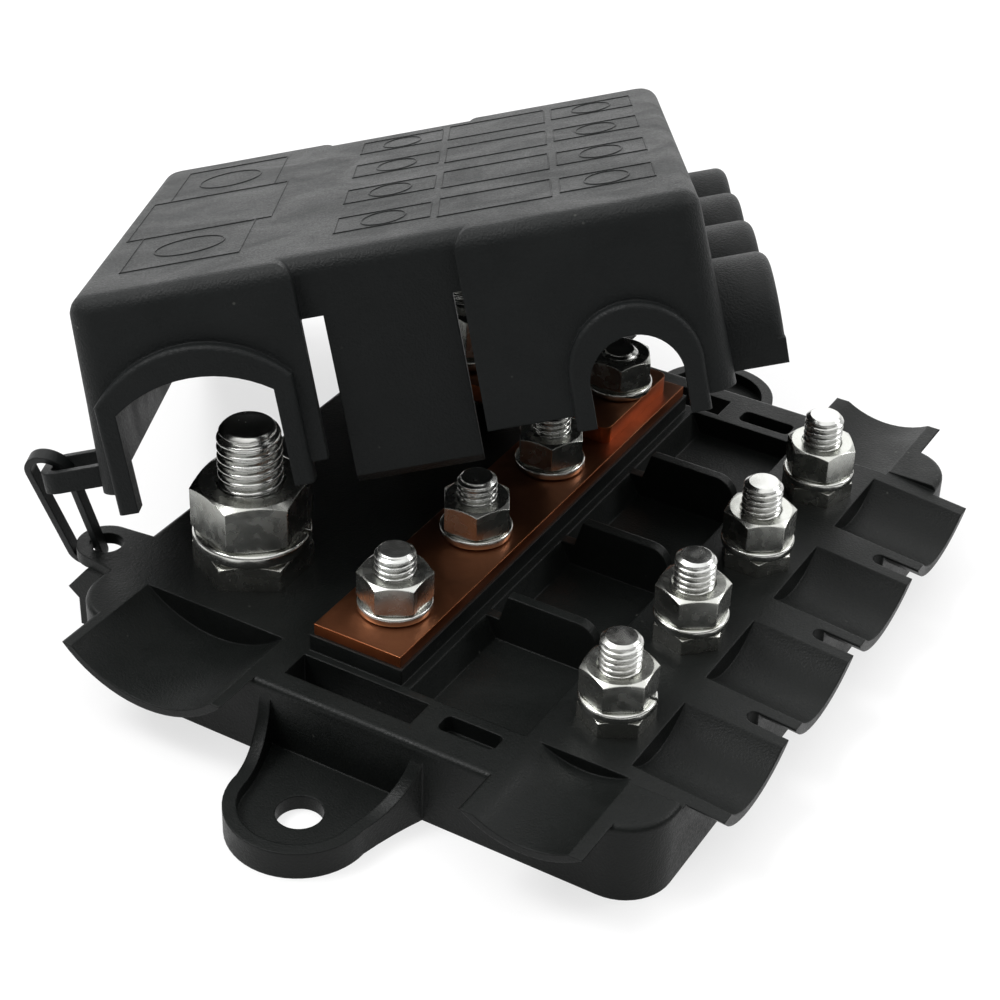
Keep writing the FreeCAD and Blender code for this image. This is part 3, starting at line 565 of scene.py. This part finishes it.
# The bench is a plain white sheet that keeps the object's soft shadow. To the camera and in
# mirrored rays it is mostly plain white, which needs no more light on the object.
bench_reach = 3
bench_glow = 0.7
ground = bpy.data.meshes.new("bench")
corners = [(-1, -1), (1, -1), (1, 1), (-1, 1)]
ground.from_pydata([(bench_reach * x, bench_reach * y, 0) for x, y in corners], [], [(0, 1, 2, 3)])
bench = bpy.data.objects.new("bench", ground)
bpy.context.scene.collection.objects.link(bench)
paper = bpy.data.materials.new("white_paper")
paper.use_nodes = True
tree = paper.node_tree
tree.nodes.clear()
matt = add(tree, "ShaderNodeBsdfDiffuse", {"Color": linear("#f4f4f4")})
glow = add(tree, "ShaderNodeEmission", {"Color": linear("#ffffff"), "Strength": 1.0})
path = add(tree, "ShaderNodeLightPath").outputs
mirrored = add(tree, "ShaderNodeMath", {
    0: path["Is Glossy Ray"], 1: path["Is Transmission Ray"]}, operation="MAXIMUM")
seen = add(tree, "ShaderNodeMath", {0: path["Is Camera Ray"], 1: mirrored}, operation="MAXIMUM")
share = add(tree, "ShaderNodeMath", {0: seen, 1: bench_glow}, operation="MULTIPLY")
sheet = add(tree, "ShaderNodeMixShader", {0: share, 1: matt, 2: glow})
add(tree, "ShaderNodeOutputMaterial", {"Surface": sheet})
ground.materials.append(paper)

# The light is soft and comes mostly from behind and above, so that the black mouldings show
# by their sheen: a world that brightens behind the object and overhead, and two soft boxes.
rear_direction = (-0.58, 0.80, 0.10)
object_middle = Vector((0, 0, 0.02))
world = bpy.data.worlds.new("studio")
world.use_nodes = True
bpy.context.scene.world = world
tree = world.node_tree
tree.nodes.clear()
ahead = add(tree, "ShaderNodeTexCoord").outputs["Generated"]
behind = add(tree, "ShaderNodeVectorMath", {0: ahead, 1: rear_direction}, operation="DOT_PRODUCT")
rear_sheet = add(tree, "ShaderNodeMapRange", {
    "Value": behind.outputs["Value"], "From Min": 0.35, "From Max": 1.0, "To Min": 0.0,
    "To Max": 1.7}, interpolation_type="SMOOTHSTEP")
up_share = add(tree, "ShaderNodeSeparateXYZ", {"Vector": ahead}).outputs["Z"]
overhead = add(tree, "ShaderNodeMapRange", {
    "Value": up_share, "From Min": 0.40, "From Max": 1.0, "To Min": 0.15,
    "To Max": 1.6}, interpolation_type="SMOOTHSTEP")
studio_light = add(tree, "ShaderNodeMath", {0: rear_sheet, 1: overhead}, operation="ADD")
sky = add(tree, "ShaderNodeBackground", {"Color": linear("#ffffff"), "Strength": studio_light})
add(tree, "ShaderNodeOutputWorld", {"Surface": sky})


def soft_box(name, place, size_m, power):
    """A large diffuse lamp pointed at the object."""
    lamp = bpy.data.lights.new(name, "AREA")
    lamp.shape = "SQUARE"
    lamp.size = size_m
    lamp.energy = power
    held = bpy.data.objects.new(name, lamp)
    held.location = place
    towards = object_middle - Vector(place)
    held.rotation_euler = towards.to_track_quat("-Z", "Y").to_euler()
    bpy.context.scene.collection.objects.link(held)


soft_box("upper_left_soft_box", (-0.45, -0.25, 0.75), 0.35, 5.0)
soft_box("rear_right_soft_box", (0.55, 0.60, 0.60), 0.30, 3.0)

# The camera stands in front, to the right and above, where the photograph was taken from,
# and is tilted by about two degrees.
camera_place = (0.11387, -0.21053, 0.17526)
level_right = Vector((0.87026, 0.49259, 0.0))
looking = Vector((-0.40891, 0.72247, -0.55757))
level_up = level_right.cross(looking)
tilt = math.radians(1.965)
camera_x = math.cos(tilt) * level_right + math.sin(tilt) * level_up
camera_y = -math.sin(tilt) * level_right + math.cos(tilt) * level_up
lens = bpy.data.cameras.new("camera")
lens.lens = 81.81
lens.sensor_width = 36.0
camera = bpy.data.objects.new("camera", lens)
bpy.context.scene.collection.objects.link(camera)
facing_frame = Matrix((camera_x, camera_y, -looking)).transposed().to_4x4()
camera.matrix_world = Matrix.Translation(camera_place) @ facing_frame
bpy.context.scene.camera = camera
bpy.context.scene.view_settings.view_transform = "Standard"
